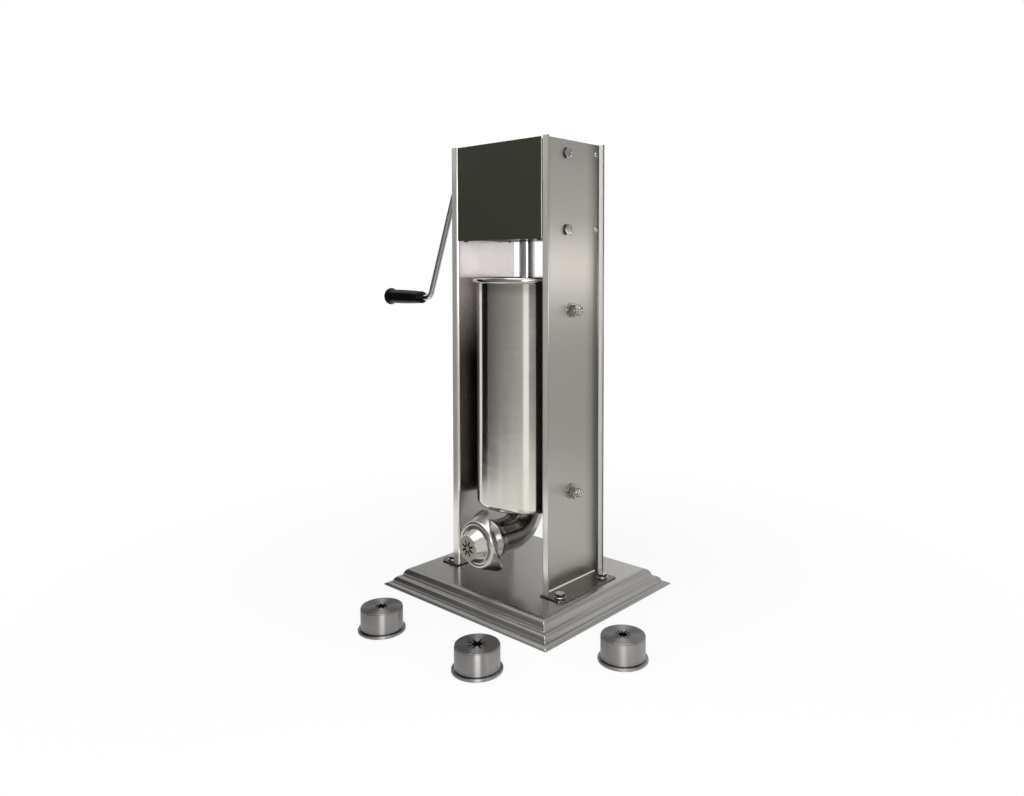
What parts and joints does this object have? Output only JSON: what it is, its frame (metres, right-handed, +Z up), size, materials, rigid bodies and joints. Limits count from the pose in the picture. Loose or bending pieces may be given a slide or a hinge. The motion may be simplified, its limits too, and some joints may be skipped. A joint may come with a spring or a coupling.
{
  "type": "manual churro machine",
  "caption": "Upright hand-cranked dough press: a geared rack pushes a plunger down a steel cylinder and out of an elbow with a star die under a wing nut.",
  "frame": {"origin": "on the floor under the middle of the base", "axes": "+Z up along the column, -Y to the front where the outlet points, -X to the crank"},
  "size_m": [0.6062, 0.4337, 0.69],
  "materials": {
    "sheet_steel": "brushed stainless sheet",
    "polished_steel": "polished stainless",
    "bright_steel": "bright plated",
    "turned_steel": "lathe turned",
    "dark_cover": "smooth dark olive grey",
    "cast_iron": "machined casting",
    "gear_steel": "greased cut teeth",
    "bronze": "machined bronze",
    "black_plastic": "glossy black",
    "seal_rubber": "food grade silicone"
  },
  "bodies": {
    "frame": {"base": "sheet_steel", "left_side_plate": "sheet_steel", "right_side_plate": "sheet_steel", "foot_bolts": "bright_steel", "foot_nuts": "bright_steel", "gearbox_floor": "cast_iron", "front_cover": "dark_cover", "rear_cover": "sheet_steel", "top_cover": "sheet_steel", "cover_screws": "bright_steel", "floor_screws": "bright_steel", "rear_cover_screws": "bright_steel", "top_screws": "bright_steel", "left_bearing_block": "cast_iron", "right_bearing_block": "cast_iron", "block_bolts": "bright_steel", "crank_bushes": "bronze", "gear_bushes": "bronze", "rod_guide": "bronze", "cylinder": "polished_steel", "cylinder_studs": "bright_steel", "stud_washers": "bright_steel", "stud_nuts": "bright_steel", "elbow": "polished_steel", "outlet_ferrule": "polished_steel"},
    "crank": {"crank_shaft": "bright_steel", "crank_pinion": "gear_steel", "crank_hub": "bright_steel", "crank_arm": "bright_steel", "hub_screws": "bright_steel"},
    "grip": {"grip": "black_plastic"},
    "gear_train": {"gear_shaft": "bright_steel", "drive_gear": "gear_steel", "rack_pinion": "gear_steel"},
    "ram": {"rack_rod": "bright_steel", "plunger": "polished_steel", "plunger_seal": "seal_rubber", "plunger_nut": "bright_steel"},
    "die": {"fitted_die": "turned_steel"},
    "wing_nut": {"wing_nut": "polished_steel"},
    "loose_die_left": {"eight_lobe_die": "turned_steel"},
    "loose_die_front": {"eight_arm_die": "turned_steel"},
    "loose_die_right": {"twelve_arm_die": "turned_steel"}
  },
  "joints": [
    {"name": "crank_turn", "type": "hinge", "parent": "frame", "child": "crank", "pos_m": [0, -0.022, 0.627], "axis": [1, 0, 0], "range_deg": [0, 3960]},
    {"name": "gear_turn", "type": "hinge", "parent": "frame", "child": "gear_train", "pos_m": [0, 0.024, 0.627], "axis": [1, 0, 0], "range_deg": [-1398, 0]},
    {"name": "plunger_slide", "type": "slide", "parent": "frame", "child": "ram", "axis": [0, 0, 1], "range_m": [0, 0.366]},
    {"name": "grip_spin", "type": "hinge", "parent": "crank", "child": "grip", "pos_m": [-0.27, -0.022, 0.451], "axis": [1, 0, 0], "continuous": true},
    {"name": "die_slide", "type": "slide", "parent": "frame", "child": "die", "axis": [0, -1, 0], "range_m": [0, 0.00602]},
    {"name": "nut_turn", "type": "hinge", "parent": "die", "child": "wing_nut", "pos_m": [0, -0.11, 0.092], "axis": [0, -1, 0], "range_deg": [0, 720]},
    {"name": "left_die_lift", "type": "slide", "parent": "frame", "child": "loose_die_left", "axis": [0, 0, 1], "range_m": [0, 0.06]},
    {"name": "front_die_lift", "type": "slide", "parent": "frame", "child": "loose_die_front", "axis": [0, 0, 1], "range_m": [0, 0.06]},
    {"name": "right_die_lift", "type": "slide", "parent": "frame", "child": "loose_die_right", "axis": [0, 0, 1], "range_m": [0, 0.06]}
  ],
  "couplings": [
    {"joint": "gear_turn", "follows": "crank_turn", "ratio": -0.35294},
    {"joint": "plunger_slide", "follows": "crank_turn", "m_per_rad": 0.0052941},
    {"joint": "die_slide", "follows": "nut_turn", "m_per_rad": 0.00047746}
  ]
}
